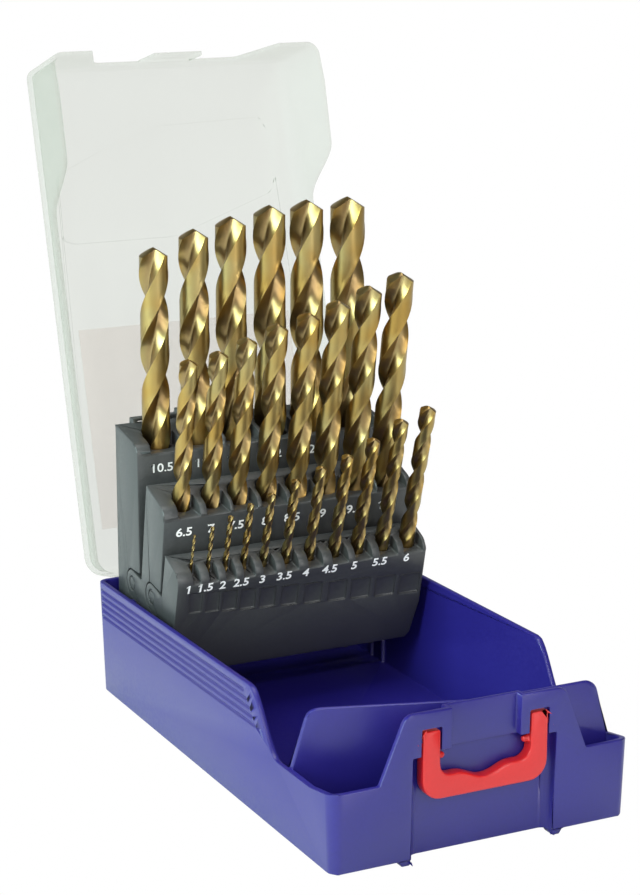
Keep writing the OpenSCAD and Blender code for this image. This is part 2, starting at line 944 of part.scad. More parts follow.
// A row of shallow pockets under the numbers, stepping down towards the larger drills
module front_pockets() {
    n = len(FRONT_DRILLS);
    for (i = [0:n - 1]) {
        x = place_x(FRONT_DRILLS[i]);
        w = 4.6 + 0.35 * i;
        z = ledge_left_z + (ledge_right_z - ledge_left_z) * i / (n - 1);
        translate([x - w / 2, front_front - 1, z])
            cube([w, 1 + pocket_depth, pocket_h]);
    }
}

// The front rack's cheeks draw in below the ears
module cheek_taper() {
    mirrored()
        along(front_front - 5, front_back + 5)
            polygon([
                [rack_half, stud_2[1] - ear_r - 1], [rack_half + 5, stud_2[1] - ear_r - 1],
                [rack_half + 5, -far], [rack_half - 3.4, sleeve_bottom_z - 1], [rack_half - 3.4, sleeve_bottom_z]
            ]);
}

module front_rack() {
    color([0.23, 0.24, 0.25])
        lean_front() {
            difference() {
                union() {
                    rack_shell(front_profile(), 2);
                    rack_sleeves(
                        FRONT_DRILLS, front_axis, front_top_z, front_front, front_bore_tilt,
                        front_profile(), rack_half - join
                    );
                }
                rack_bores(FRONT_DRILLS, front_axis, front_top_z, front_front, front_bore_tilt);
                front_pockets();
                cheek_taper();
            }
            ears(stud_2, ear_reach);
        }
}

// ---------- drills ----------

rings_a_turn = 10;

// Radius of the fluted section at an angle, as a share of the drill's: two lands, two flutes
function flute_share(a, depth) =
    let (b = (a % 180 + 180) % 180)
    b < 70 ? 1 : 1 - depth * pow(sin(180 * (b - 70) / 110), 0.8);

land_angles = [0, 35, 70];
flute_angles = [88, 125, 162];
section_angles = [for (turn = [0, 180]) for (a = concat(land_angles, flute_angles)) a + turn];

// One closed mesh: the flutes, their run-out into the shank and the point
module fluted_body(d, length) {
    r = d / 2;
    point_h = r / tan(point_angle / 2);
    runout = d;
    body = length - point_h;
    rings = max(ceil(body / (flute_lead * d) * rings_a_turn), 8);
    heights = concat([for (i = [0:rings]) body * i / rings], [length - point_h * 0.12]);
    n = len(section_angles);
    points = [
        for (z = heights)
            let (depth = 0.62 * min(z / runout, 1))
            let (taper = z > body ? 0.14 : 0.999)
            let (twist = 360 * z / (flute_lead * d))
            for (a = section_angles)
                r * taper * flute_share(a, depth) * [cos(a + twist), sin(a + twist), 0] + [0, 0, z]
    ];
    tip = [[0, 0, 0], [0, 0, length]];
    last = len(heights) - 1;
    sides = [
        for (j = [0:last - 1]) for (i = [0:n - 1])
            let (p = j * n + i, q = j * n + (i + 1) % n)
            each [[p, q + n, q], [p, p + n, q + n]]
    ];
    ends = [
        for (i = [0:n - 1]) [len(points), i, (i + 1) % n],
        for (i = [0:n - 1]) [len(points) + 1, last * n + (i + 1) % n, last * n + i]
    ];
    polyhedron(points = concat(points, tip), faces = concat(sides, ends));
}

// A drill standing on z = 0
module drill_body(drill) {
    shank = drill[1] - drill[2];
    cylinder(h = shank, r = drill[0] / 2, $fn = round_fn);
    translate([0, 0, shank - 0.2])
        fluted_body(drill[0], drill[2] + 0.2);
}

module drill_in_row(row, drill) {
    out = drill[4] - drill[1];
    color([0.72, 0.6, 0.33]) {
        if (row == 0)
            at_bore(drill, rear_axis, rear_top_z, rear_front, 0)
                translate([0, 0, out])
                    drill_body(drill);
        if (row == 1)
            lean_mid()
                at_bore(drill, mid_axis, mid_top_z, mid_front, 0)
                    translate([0, 0, out])
                        drill_body(drill);
        if (row == 2)
            lean_front()
                at_bore(drill, front_axis, front_top_z, front_front, front_bore_tilt)
                    translate([0, 0, out])
                        drill_body(drill);
    }
}

// ---------- the open case ----------

module place() {
    translate([0, -origin_y, foot_h])
        children();
}

place() tray();
place() handle();
place() lid();
place() lid_label();
place() hinge_pins();
place() rear_rack();
place() middle_rack();
place() front_rack();
for (row = [0:2])
    for (drill = ROWS[row])
        place() drill_in_row(row, drill);
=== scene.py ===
"""Dresses a packed drill bit case for a studio picture.

The case stands open: a blue tray with a red folding handle, a frosted lid laid back on its
hinges, and three black racks that fan out and hold twenty-five gold-coloured twist drills.
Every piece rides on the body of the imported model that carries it, so the same scene also
shows the case shut, or with a drill lifted out.
"""

import json
import logging
import math
from contextlib import contextmanager
from dataclasses import dataclass, field
from enum import Enum
from typing import Callable, Iterator

import bmesh
import bpy
from mathutils import Matrix, Vector


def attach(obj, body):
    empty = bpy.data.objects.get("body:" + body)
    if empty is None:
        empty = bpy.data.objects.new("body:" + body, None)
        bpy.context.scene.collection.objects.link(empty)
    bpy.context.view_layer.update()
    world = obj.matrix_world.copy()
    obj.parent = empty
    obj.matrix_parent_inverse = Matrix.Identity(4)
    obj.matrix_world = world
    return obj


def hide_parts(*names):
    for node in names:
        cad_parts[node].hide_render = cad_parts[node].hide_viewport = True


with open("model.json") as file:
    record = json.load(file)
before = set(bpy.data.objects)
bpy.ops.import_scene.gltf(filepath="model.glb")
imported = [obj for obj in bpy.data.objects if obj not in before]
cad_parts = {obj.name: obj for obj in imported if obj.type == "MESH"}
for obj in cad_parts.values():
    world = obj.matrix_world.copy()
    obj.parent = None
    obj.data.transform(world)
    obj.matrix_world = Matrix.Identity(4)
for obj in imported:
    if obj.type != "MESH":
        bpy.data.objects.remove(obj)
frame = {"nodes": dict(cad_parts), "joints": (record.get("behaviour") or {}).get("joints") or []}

logging.basicConfig(level=logging.INFO, format="%(message)s")
log = logging.getLogger("drill_case")

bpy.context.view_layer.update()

MM = 0.001
JOIN_GAP = 1e-6  # metres: CAD corners nearer than this are one corner
FOOT_GAP = 1e-5  # metres: a drill's corners within this of its lowest are its foot
FLAT_ANGLE = 0.2  # degrees: CAD faces that meet at less are one face
END_FACING = 0.9  # a face is a bar's end when its normal's z is more than this
NEAR = 1e-4  # millimetres: heights nearer than this are the same
FULL_HEIGHT = 0.85  # a figure is of full height from this share of the number's height
STEM_WIDTH = 0.5  # and a bare stem up to this share of its own height
STEM_TOP = 0.1  # the share of a stem that is its top
PLASTIC_IOR = 1.49
UNIT = (0.0, 1.0)
SKIN_SPAN = (0.1, 0.45)  # lowest and highest value of the moulded skin's mask
LINE_SPAN = (0.3, 0.7)  # the same of the fine lines' mask

Colour = tuple[float, float, float]
FaceTest = Callable[[Vector, Vector], bool]


class Slot(Enum):
    """The record's material slots."""

    BLUE = "blue_plastic"
    RED = "red_plastic"
    CLEAR = "clear_plastic"
    LABEL = "label_paper"
    PIN = "pin_steel"
    BLACK = "black_plastic"
    DRILL = "drill_steel"


class Row(Enum):
    """The three racks, each named as its CAD node and body are."""

    REAR = "rear_rack"
    MIDDLE = "middle_rack"
    FRONT = "front_rack"


def joint(name: str) -> dict:
    """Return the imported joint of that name.

    Args:
        name: The joint's name.

    Returns:
        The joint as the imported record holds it.
    """
    return next(j for j in frame["joints"] if j["name"] == name)


def srgb(red: float, green: float, blue: float) -> tuple[float, float, float, float]:
    """Turn a colour as a screen shows it, 0 to 255, into Blender's linear one.

    Args:
        red: Red share.
        green: Green share.
        blue: Blue share.

    Returns:
        Linear red, green, blue and an alpha of 1.
    """
    shares = [v / 255 for v in (red, green, blue)]
    line = [s / 12.92 if s <= 0.04045 else ((s + 0.055) / 1.055) ** 2.4 for s in shares]
    return (line[0], line[1], line[2], 1.0)


# ---------------------------------------------------------------- the case's own frame


@dataclass(frozen=True)
class CaseFrame:
    """Places sizes taken on the tray, in millimetres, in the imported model's frame.

    Heights count from the tray's underside, and y from the middle of the tray.
    """

    half_depth: float = 95.5
    hinge_behind: float = 2.3
    foot: float = 2.0
    stud_1: tuple[float, float] = (74.6, 46.3)
    stud_2: tuple[float, float] = (57.0, 49.05)
    middle_lean: float = 9.5
    front_lean: float = 4.0

    def shift(self) -> Vector:
        """Return the tray frame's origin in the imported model's frame, in millimetres."""
        hinge_y = joint("lid_hinge")["pos_m"][1] / MM
        return Vector((0, hinge_y - self.half_depth - self.hinge_behind, self.foot))

    def matrix(self) -> Matrix:
        """Return the matrix from tray millimetres to the model's metres."""
        return Matrix.Scale(MM, 4) @ Matrix.Translation(self.shift())

    def lean(self, row: Row) -> Matrix:
        """Return how a rack stands when the case is open, in tray millimetres.

        Args:
            row: The rack.

        Returns:
            The matrix from the upright rack to the leaning one.
        """
        turned = Matrix.Identity(4)
        if row is not Row.REAR:
            turned = turned @ self._about(self.stud_1, self.middle_lean)
        if row is Row.FRONT:
            turned = turned @ self._about(self.stud_2, self.front_lean)
        return turned

    @staticmethod
    def _about(stud: tuple[float, float], angle: float) -> Matrix:
        """Return a turn about a stud that lies along x.

        Args:
            stud: The stud's y and z.
            angle: The turn, in degrees.

        Returns:
            The matrix of the turn.
        """
        centre = Vector((0, stud[0], stud[1]))
        turn = Matrix.Rotation(math.radians(angle), 4, "X")
        return Matrix.Translation(centre) @ turn @ Matrix.Translation(-centre)


CASE = CaseFrame()


# ---------------------------------------------------------------- the workbench


class Bench:
    """The operators that every piece is made with."""

    @staticmethod
    def clear() -> None:
        """Select nothing, because an operator acts on all that is selected."""
        for thing in bpy.context.selected_objects:
            thing.select_set(False)

    @staticmethod
    def pick(piece: bpy.types.Object) -> bpy.types.Object:
        """Select one piece alone and make it active.

        Args:
            piece: The piece.

        Returns:
            The same piece.
        """
        Bench.clear()
        piece.select_set(True)
        bpy.context.view_layer.objects.active = piece
        return piece

    @staticmethod
    @contextmanager
    def editing(piece: bpy.types.Object) -> Iterator[bmesh.types.BMesh]:
        """Enter edit mode on a piece with nothing selected, and leave it at the end.

        Args:
            piece: The piece to edit.

        Yields:
            The mesh as edit mode holds it.
        """
        Bench.pick(piece)
        bpy.ops.object.mode_set(mode="EDIT")
        bpy.ops.mesh.select_all(action="DESELECT")
        yield bmesh.from_edit_mesh(piece.data)
        bpy.ops.object.mode_set(mode="OBJECT")

    @staticmethod
    def choose_faces(piece: bpy.types.Object, test: FaceTest) -> None:
        """Select the faces whose centre and normal pass a test, in edit mode.

        Args:
            piece: The piece being edited.
            test: Given a face's centre and normal, says whether to select it.
        """
        mesh = bmesh.from_edit_mesh(piece.data)
        bpy.ops.mesh.select_all(action="DESELECT")
        bpy.ops.mesh.select_mode(type="FACE")
        for face in mesh.faces:
            if test(face.calc_center_median(), face.normal):
                face.select_set(True)
        bmesh.update_edit_mesh(piece.data)

    @staticmethod
    def added(name: str) -> bpy.types.Object:
        """Name the primitive that was just added, and its mesh.

        Args:
            name: The piece's name.

        Returns:
            The new object.
        """
        piece = bpy.context.active_object
        piece.name = name
        piece.data.name = name
        return piece

    @staticmethod
    def modify(piece: bpy.types.Object, kind: str, **settings: object) -> None:
        """Add a modifier to a piece and apply it.

        Args:
            piece: The piece.
            kind: The modifier's type, such as BEVEL.
            **settings: Its settings by name.
        """
        Bench.pick(piece)
        modifier = piece.modifiers.new(kind.lower(), kind)
        for setting, value in settings.items():
            setattr(modifier, setting, value)
        bpy.ops.object.modifier_apply(modifier=modifier.name)

    @staticmethod
    def settle(piece: bpy.types.Object, matrix: Matrix) -> None:
        """Move a piece's mesh by a matrix and leave its object at the origin.

        Args:
            piece: The piece.
            matrix: Where the mesh goes.
        """
        piece.data.transform(matrix @ piece.matrix_world)
        piece.matrix_world = Matrix.Identity(4)

    @staticmethod
    def smooth(piece: bpy.types.Object, angle: float = 32.0) -> None:
        """Shade a piece smooth where its faces meet at less than an angle.

        Args:
            piece: The piece.
            angle: The angle in degrees.
        """
        Bench.pick(piece)
        bpy.ops.object.shade_smooth_by_angle(angle=math.radians(angle))

    @staticmethod
    def dress(piece: bpy.types.Object, material: bpy.types.Material) -> None:
        """Give a piece one material.

        Args:
            piece: The piece.
            material: The material.
        """
        piece.data.materials.clear()
        piece.data.materials.append(material)

    @staticmethod
    def rounded_copy(
        node: str, name: str, radius: float, angle: float = 30.0, segments: int = 2
    ) -> bpy.types.Object:
        """Copy a CAD node, join its loose triangles and round its edges.

        Args:
            node: The CAD node.
            name: The new piece's name.
            radius: Width of the rounding, in millimetres.
            angle: Edges sharper than this many degrees are rounded.
            segments: Steps across the rounding.

        Returns:
            The new piece.
        """
        piece = bpy.data.objects.new(name, frame["nodes"][node].data.copy())
        piece.data.name = name
        bpy.context.scene.collection.objects.link(piece)
        with Bench.editing(piece):
            bpy.ops.mesh.select_all(action="SELECT")
            bpy.ops.mesh.remove_doubles(threshold=JOIN_GAP)
            bpy.ops.mesh.dissolve_limited(angle_limit=math.radians(FLAT_ANGLE))
            bpy.ops.mesh.select_all(action="SELECT")
            bpy.ops.mesh.quads_convert_to_tris()
        Bench.modify(
            piece,
            "BEVEL",
            width=radius * MM,
            segments=segments,
            limit_method="ANGLE",
            angle_limit=math.radians(angle),
            use_clamp_overlap=False,
            miter_outer="MITER_ARC",
        )
        Bench.smooth(piece)
        return piece

    @staticmethod
    def hand_over(
        piece: bpy.types.Object, body: str, slot: Slot, replaced: tuple[str, ...] = ()
    ) -> None:
        """Let a finished piece ride on its body and hide the CAD nodes that it stands for.

        Args:
            piece: The piece.
            body: The CAD body that carries it.
            slot: The record's material slot; not used.
            replaced: The CAD nodes that it stands for.
        """
        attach(piece, body)
        if replaced:
            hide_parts(*replaced)
        log.info("%-22s on %-12s %6d faces", piece.name, body, len(piece.data.polygons))


# ---------------------------------------------------------------- finishes


class NodeSheet:
    """A node tree with short ways to add nodes and join them."""

    def __init__(self, tree: bpy.types.NodeTree) -> None:
        """Start on an empty tree.

        Args:
            tree: The tree to fill.
        """
        self.tree = tree
        tree.nodes.clear()

    @staticmethod
    def material(name: str) -> tuple[bpy.types.Material, "NodeSheet"]:
        """Start a material.

        Args:
            name: The material's name.

        Returns:
            The material and its empty sheet.
        """
        material = bpy.data.materials.new(name)
        material.use_nodes = True
        return material, NodeSheet(material.node_tree)

    def add(self, kind: str, inputs: dict | None = None, **settings: object) -> bpy.types.Node:
        """Add a node, set it and join its inputs.

        Args:
            kind: The node's type.
            inputs: Values or output sockets by input name or number.
            **settings: The node's own settings.

        Returns:
            The new node.
        """
        node = self.tree.nodes.new(kind)
        for setting, value in settings.items():
            setattr(node, setting, value)
        for key, value in (inputs or {}).items():
            if isinstance(value, bpy.types.NodeSocket):
                self.tree.links.new(value, node.inputs[key])
            else:
                node.inputs[key].default_value = value
        return node

    def blend(self, share: object, low: object, high: object) -> bpy.types.NodeSocket:
        """Mix two colours.

        Args:
            share: The share of the second, a number or a socket.
            low: The first colour or socket.
            high: The second colour or socket.

        Returns:
            The mixed colour's socket.
        """
        node = self.add("ShaderNodeMix", data_type="RGBA")
        for index, value in ((0, share), (6, low), (7, high)):
            if isinstance(value, bpy.types.NodeSocket):
                self.tree.links.new(value, node.inputs[index])
            else:
                node.inputs[index].default_value = value
        return node.outputs[2]

    def ranged(
        self, value: bpy.types.NodeSocket, source: tuple[float, float], target: tuple[float, float]
    ) -> bpy.types.NodeSocket:
        """Map a value from one range onto another.

        Args:
            value: The socket to map.
            source: Lowest and highest value that comes in.
            target: What these turn into.

        Returns:
            The mapped value's socket.
        """
        inputs = {0: value, 1: source[0], 2: source[1], 3: target[0], 4: target[1]}
        return self.add("ShaderNodeMapRange", inputs).outputs[0]


class Effects:
    """Node groups that more than one finish uses, each built once."""

    @staticmethod
    def _group(
        name: str, inputs: dict[str, float], outputs: dict[str, str]
    ) -> tuple[bpy.types.NodeTree, NodeSheet, bpy.types.Node, bpy.types.Node]:
        """Start a node group.

        Args:
            name: The group's name.
            inputs: Its number inputs with their default values.
            outputs: Its outputs with their socket types.

        Returns:
            The group, its sheet, and its input and output nodes.
        """
        group = bpy.data.node_groups.new(name, "ShaderNodeTree")
        for label, value in inputs.items():
            socket = group.interface.new_socket(
                label, in_out="INPUT", socket_type="NodeSocketFloat"
            )
            socket.default_value = value
        for label, kind in outputs.items():
            group.interface.new_socket(label, in_out="OUTPUT", socket_type=kind)
        sheet = NodeSheet(group)
        return group, sheet, sheet.add("NodeGroupInput"), sheet.add("NodeGroupOutput")

    @staticmethod
    def moulded_grain() -> bpy.types.NodeTree:
        """Return the fine unevenness of moulded plastic: a mask and a bumped normal."""
        name = "moulded_grain"
        if name in bpy.data.node_groups:
            return bpy.data.node_groups[name]
        group, sheet, given, result = Effects._group(
            name,
            {"Grain Depth": 0.05, "Sink Depth": 0.15},
            {"Mask": "NodeSocketFloat", "Normal": "NodeSocketVector"},
        )
        place = sheet.add("ShaderNodeTexCoord").outputs["Object"]
        grain = sheet.add(
            "ShaderNodeTexNoise", {"Vector": place, "Scale": 900.0, "Detail": 3.0}
        ).outputs[0]
        sink = sheet.add(
            "ShaderNodeTexNoise", {"Vector": place, "Scale": 22.0, "Detail": 1.5}
        ).outputs[0]
        low = sheet.add(
            "ShaderNodeBump",
            {"Strength": given.outputs["Sink Depth"], "Distance": 0.002, "Height": sink},
        ).outputs[0]
        high = sheet.add(
            "ShaderNodeBump",
            {
                "Strength": given.outputs["Grain Depth"],
                "Distance": 0.0002,
                "Height": grain,
                "Normal": low,
            },
        ).outputs[0]
        both = sheet.add("ShaderNodeMath", {0: grain, 1: sink}, operation="MULTIPLY").outputs[0]
        sheet.tree.links.new(both, result.inputs["Mask"])
        sheet.tree.links.new(high, result.inputs["Normal"])
        return group

    @staticmethod
    def fine_lines() -> bpy.types.NodeTree:
        """Return the fine turned or ground lines round a long piece: a mask and a normal."""
        name = "fine_lines"
        if name in bpy.data.node_groups:
            return bpy.data.node_groups[name]
        group, sheet, _, result = Effects._group(
            name, {}, {"Mask": "NodeSocketFloat", "Normal": "NodeSocketVector"}
        )
        place = sheet.add("ShaderNodeTexCoord").outputs["Object"]
        drawn = sheet.add("ShaderNodeMapping", {0: place, 3: (160.0, 160.0, 2600.0)}).outputs[0]
        lines = sheet.add(
            "ShaderNodeTexNoise", {"Vector": drawn, "Scale": 3.0, "Detail": 2.0}
        ).outputs[0]
        bumped = sheet.add(
            "ShaderNodeBump", {"Strength": 0.02, "Distance": 0.0001, "Height": lines}
        ).outputs[0]
        sheet.tree.links.new(lines, result.inputs["Mask"])
        sheet.tree.links.new(bumped, result.inputs["Normal"])
        return group


def moulded_skin(
    sheet: NodeSheet, roughness: float, grain_depth: float, sink_depth: float
) -> tuple[bpy.types.NodeSocket, dict]:
    """Add the skin that every plastic of the case has.

    Args:
        sheet: The material's sheet.
        roughness: The mean roughness.
        grain_depth: Strength of the fine grain.
        sink_depth: Strength of the wide, shallow sinks.

    Returns:
        The mask's socket, and the shader inputs that the skin gives.
    """
    grain = sheet.add("ShaderNodeGroup", node_tree=Effects.moulded_grain())
    grain.inputs["Grain Depth"].default_value = grain_depth
    grain.inputs["Sink Depth"].default_value = sink_depth
    mask = grain.outputs["Mask"]
    rough = sheet.ranged(mask, SKIN_SPAN, (roughness * 0.85, roughness * 1.15))
    return mask, {"Roughness": rough, "Normal": grain.outputs["Normal"], "IOR": PLASTIC_IOR}


@dataclass(frozen=True)
class MouldedPlastic:
    """Opaque moulded plastic with a little sheen and a fine uneven skin."""

    name: str
    colour: Colour
    shade: Colour
    roughness: float
    grain_depth: float = 0.02
    sink_depth: float = 0.1

    def make(self) -> bpy.types.Material:
        """Build the material.

        Returns:
            The material.
        """
        material, sheet = NodeSheet.material(self.name)
        mask, skin = moulded_skin(sheet, self.roughness, self.grain_depth, self.sink_depth)
        share = sheet.ranged(mask, (0.15, 0.4), UNIT)
        colour = sheet.blend(share, srgb(*self.shade), srgb(*self.colour))
        shader = sheet.add("ShaderNodeBsdfPrincipled", {"Base Color": colour, **skin})
        sheet.add("ShaderNodeOutputMaterial", {"Surface": shader.outputs[0]})
        return material


@dataclass(frozen=True)
class FrostedPlastic:
    """Milky plastic, or paper on it, that the background shows through."""

    name: str
    passed: Colour
    edge: Colour
    skin: Colour
    haze: float
    roughness: float = 0.3
    sink_depth: float = 0.1
    grain_depth: float = 0.01
    cloud: float = 0.97
    edge_haze: float = 2.5

    def make(self) -> bpy.types.Material:
        """Build the material.

        Returns:
            The material.
        """
        material, sheet = NodeSheet.material(self.name)
        mask, skin = moulded_skin(sheet, self.roughness, self.grain_depth, self.sink_depth)
        slant = sheet.add("ShaderNodeLayerWeight", {"Blend": 0.5}).outputs["Facing"]
        share = sheet.ranged(slant, (0.35, 0.95), UNIT)
        clear = sheet.add(
            "ShaderNodeBsdfTransparent",
            {"Color": sheet.blend(share, srgb(*self.passed), srgb(*self.edge))},
        )
        cloudy = tuple(v * self.cloud for v in self.skin)
        colour = sheet.blend(sheet.ranged(mask, SKIN_SPAN, UNIT), srgb(*cloudy), srgb(*self.skin))
        milk = sheet.add("ShaderNodeBsdfPrincipled", {"Base Color": colour, **skin})
        haze = sheet.ranged(share, UNIT, (self.haze, min(1.0, self.haze * self.edge_haze)))
        both = sheet.add("ShaderNodeMixShader", {0: haze, 1: clear.outputs[0], 2: milk.outputs[0]})
        sheet.add("ShaderNodeOutputMaterial", {"Surface": both.outputs[0]})
        return material


@dataclass(frozen=True)
class CoatedSteel:
    """Ground steel with a gold-coloured coat, its colour darkened down in the flutes as painted
    shade.
    """

    name: str
    land: Colour
    # The colour down in the flutes, darker than the land's: painted shade.
    flute: Colour
    roughness: float
    warm_shares: Colour = (1.0, 0.9, 0.72)
    depth_attribute: str = "flute_depth"

    def make(self) -> bpy.types.Material:
        """Build the material.

        Returns:
            The material.
        """
        material, sheet = NodeSheet.material(self.name)
        lines = sheet.add("ShaderNodeGroup", node_tree=Effects.fine_lines())
        place = sheet.add("ShaderNodeTexCoord").outputs["Object"]
        tint = sheet.add(
            "ShaderNodeTexNoise", {"Vector": place, "Scale": 60.0, "Detail": 2.0}
        ).outputs[0]
        depth = sheet.add(
            "ShaderNodeAttribute", attribute_name=self.depth_attribute, attribute_type="GEOMETRY"
        ).outputs["Fac"]
        warm = tuple(v * f for v, f in zip(self.land, self.warm_shares))
        warmth = sheet.ranged(tint, (0.35, 0.65), UNIT)
        land = sheet.blend(warmth, srgb(*self.land), srgb(*warm))
        # Painted shade: the colour goes from the land's to the flutes' darker one as the flutes
        # deepen.
        share = sheet.ranged(depth, (0.05, 0.75), UNIT)
        shader = sheet.add(
            "ShaderNodeBsdfPrincipled",
            {
                "Base Color": sheet.blend(share, land, srgb(*self.flute)),
                "Metallic": 1.0,
                "Roughness": sheet.ranged(
                    lines.outputs["Mask"], LINE_SPAN, (self.roughness * 0.95, self.roughness * 1.1)
                ),
                "Normal": lines.outputs["Normal"],
            },
        )
        sheet.add("ShaderNodeOutputMaterial", {"Surface": shader.outputs[0]})
        return material


@dataclass(frozen=True)
class DrawnSteel:
    """Plain drawn wire, for the hinge pins."""

    name: str
    colour: Colour = (190, 190, 194)

    def make(self) -> bpy.types.Material:
        """Build the material.

        Returns:
            The material.
        """
        material, sheet = NodeSheet.material(self.name)
        lines = sheet.add("ShaderNodeGroup", node_tree=Effects.fine_lines())
        shader = sheet.add(
            "ShaderNodeBsdfPrincipled",
            {
                "Base Color": srgb(*self.colour),
                "Metallic": 1.0,
                "Roughness": sheet.ranged(lines.outputs["Mask"], LINE_SPAN, (0.22, 0.38)),
                "Normal": lines.outputs["Normal"],
            },
        )
        sheet.add("ShaderNodeOutputMaterial", {"Surface": shader.outputs[0]})
        return material


class Finishes:
    """All the finishes of the case, built once."""

    def __init__(self) -> None:
        """Build every material."""
        self.blue = MouldedPlastic("blue_tray", (31, 25, 107), (29, 23, 101), 0.34).make()
        self.red = MouldedPlastic(
            "red_handle", (184, 23, 23), (178, 21, 21), 0.32, grain_depth=0.005
        ).make()
        self.black = MouldedPlastic(
            "black_rack", (60, 61, 61), (55, 56, 56), 0.42, grain_depth=0.06
        ).make()
        self.clear = FrostedPlastic(
            "frosted_lid", (240, 241, 239), (238, 239, 236), (228, 230, 220), 0.05
        ).make()
        self.label = FrostedPlastic(
            "plain_label", (252, 249, 248), (240, 232, 228), (232, 204, 196), 0.06, 0.6, 0.03
        ).make()
        self.print = MouldedPlastic("white_print", (244, 244, 242), (236, 236, 234), 0.6).make()
        self.pin = DrawnSteel("pin_wire").make()
        # The drills' second, darker colour is painted shade down in the flutes.
        self.gold = CoatedSteel("gold_coat", (158, 140, 92), (142, 119, 81), 0.33).make()


# ---------------------------------------------------------------- the tray and what hangs on it


@dataclass
class Tray:
    """The blue tray."""

    finishes: Finishes
    edge: float = 0.45

    def build(self) -> None:
        """Round the tray's edges and dress it."""
        tray = Bench.rounded_copy("tray", "tray_shell", self.edge)
        Bench.dress(tray, self.finishes.blue)
        Bench.hand_over(tray, "root", Slot.BLUE, ("tray",))


@dataclass
class Handle:
    """The red bail handle."""

    finishes: Finishes
    edge: float = 0.7

    def build(self) -> None:
        """Round the handle's edges and dress it."""
        handle = Bench.rounded_copy("handle", "handle_bail", self.edge, segments=3)
        Bench.dress(handle, self.finishes.red)
        Bench.hand_over(handle, "handle", Slot.RED, ("handle",))


@dataclass
class Lid:
    """The frosted lid with its blank label and hinge pins."""

    finishes: Finishes
    edge: float = 0.25

    def build(self) -> None:
        """Round the lid's edges and dress it, its label and its pins."""
        lid = Bench.rounded_copy("lid", "lid_shell", self.edge, angle=50.0)
        Bench.dress(lid, self.finishes.clear)
        Bench.hand_over(lid, "lid", Slot.CLEAR, ("lid",))
        Bench.dress(frame["nodes"]["lid_label"], self.finishes.label)
        Bench.dress(frame["nodes"]["hinge_pins"], self.finishes.pin)


# ---------------------------------------------------------------- racks


@dataclass
class NumberRow:
    """The printed sizes on a rack's front face, in the upright rack's millimetres.

    The flag is what figure 1 has left of its stem's top, in shares of the figure's height.
    """

    face_y: float
    height: float
    places: dict[str, float]
    slant: float = 0.0
    tall: float = 4.4
    weight: float = 0.012
    thick: float = 0.05
    wide: float = 1.2
    flag: tuple = ((-0.22, -0.3), (0.05, -0.2), (0.05, 0.0), (-0.22, -0.17))


@dataclass
class Rack:
    """One black rack with its printed numbers."""

    row: Row
    numbers: NumberRow
    finishes: Finishes
    edge: float = 0.45

    def build(self) -> None:
        """Round the rack's edges, dress it and print its numbers."""
        rack = Bench.rounded_copy(self.row.value, self.row.value + "_body", self.edge)
        Bench.dress(rack, self.finishes.black)
        Bench.hand_over(rack, self.row.value, Slot.BLACK, (self.row.value,))
        self._print_numbers()

    def _print_numbers(self) -> None:
        """Print the sizes as thin raised letters on the front face, in one piece."""
        parts = [self._number(text, x) for text, x in self.numbers.places.items()]
        Bench.clear()
        for part in parts:
            part.select_set(True)
        bpy.context.view_layer.objects.active = parts[0]
        bpy.ops.object.join()
        printed = Bench.added(self.row.value + "_numbers")
        Bench.dress(printed, self.finishes.print)
        Bench.hand_over(printed, self.row.value, Slot.BLACK)

    def _number(self, text: str, x: float) -> bpy.types.Object:
        """Make one number and stand it on the rack's front face.

        Args:
            text: The number.
            x: Where its middle is across the rack.

        Returns:
            The number's mesh.
        """
        row = self.numbers
        Bench.clear()
        bpy.ops.object.text_add()
        number = bpy.context.active_object
        letters = number.data
        letters.body = text
        letters.size = row.tall
        letters.align_x = "CENTER"
        letters.align_y = "CENTER"
        letters.shear = row.slant
        letters.offset = row.weight * row.tall
        letters.extrude = row.thick
        letters.resolution_u = 3
        Bench.pick(number)
        bpy.ops.object.convert(target="MESH")
        number = bpy.context.active_object
        self._flag_ones(number)
        wide = Matrix.Scale(row.wide, 4, Vector((1, 0, 0)))
        stand = Matrix.Rotation(math.radians(90), 4, "X") @ wide
        place = Matrix.Translation((x, row.face_y, row.height)) @ stand
        Bench.settle(number, CASE.matrix() @ CASE.lean(self.row) @ place)
        return number

    def _flag_ones(self, number: bpy.types.Object) -> None:
        """Add the short slanted flag that the plain font leaves off each figure 1.

        Args:
            number: The number's mesh, lying flat.
        """
        row = self.numbers
        tall = max(v.co.y for v in number.data.vertices) - min(v.co.y for v in number.data.vertices)
        for left, top in self._stems(number, tall):
            with Bench.editing(number) as mesh:
                bpy.ops.mesh.primitive_plane_add(size=1, location=(0, 0, -row.thick))
                corners = [v for v in mesh.verts if v.select]
                corners.sort(key=lambda v: math.atan2(v.co.y, v.co.x))
                for corner, (x, y) in zip(corners, row.flag):
                    corner.co.x, corner.co.y = left + x * tall, top + y * tall
                bmesh.update_edit_mesh(number.data)
                bpy.ops.mesh.extrude_region_move(
                    TRANSFORM_OT_translate={"value": (0, 0, 2 * row.thick)}
                )

    @staticmethod
    def _stems(number: bpy.types.Object, tall: float) -> list[tuple[float, float]]:
        """Return the left edge and top of each narrow figure of full height.

        Args:
            number: The number's mesh, lying flat.
            tall: The figures' height.

        Returns:
            The places of the bare stems.
        """
        stems = []
        with Bench.editing(number) as mesh:
            left = set(mesh.verts)
            while left:
                island, queue = set(), [left.pop()]
                while queue:
                    vertex = queue.pop()
                    island.add(vertex)
                    near = {e.other_vert(vertex) for e in vertex.link_edges} & left
                    left -= near
                    queue.extend(near)
                xs = [v.co.x for v in island]
                ys = [v.co.y for v in island]
                high = max(ys) - min(ys)
                if high > FULL_HEIGHT * tall and max(xs) - min(xs) < STEM_WIDTH * high:
                    highest = [v.co.x for v in island if v.co.y > max(ys) - STEM_TOP * high]
                    stems.append((min(highest), max(ys)))
        return stems


# ---------------------------------------------------------------- drills


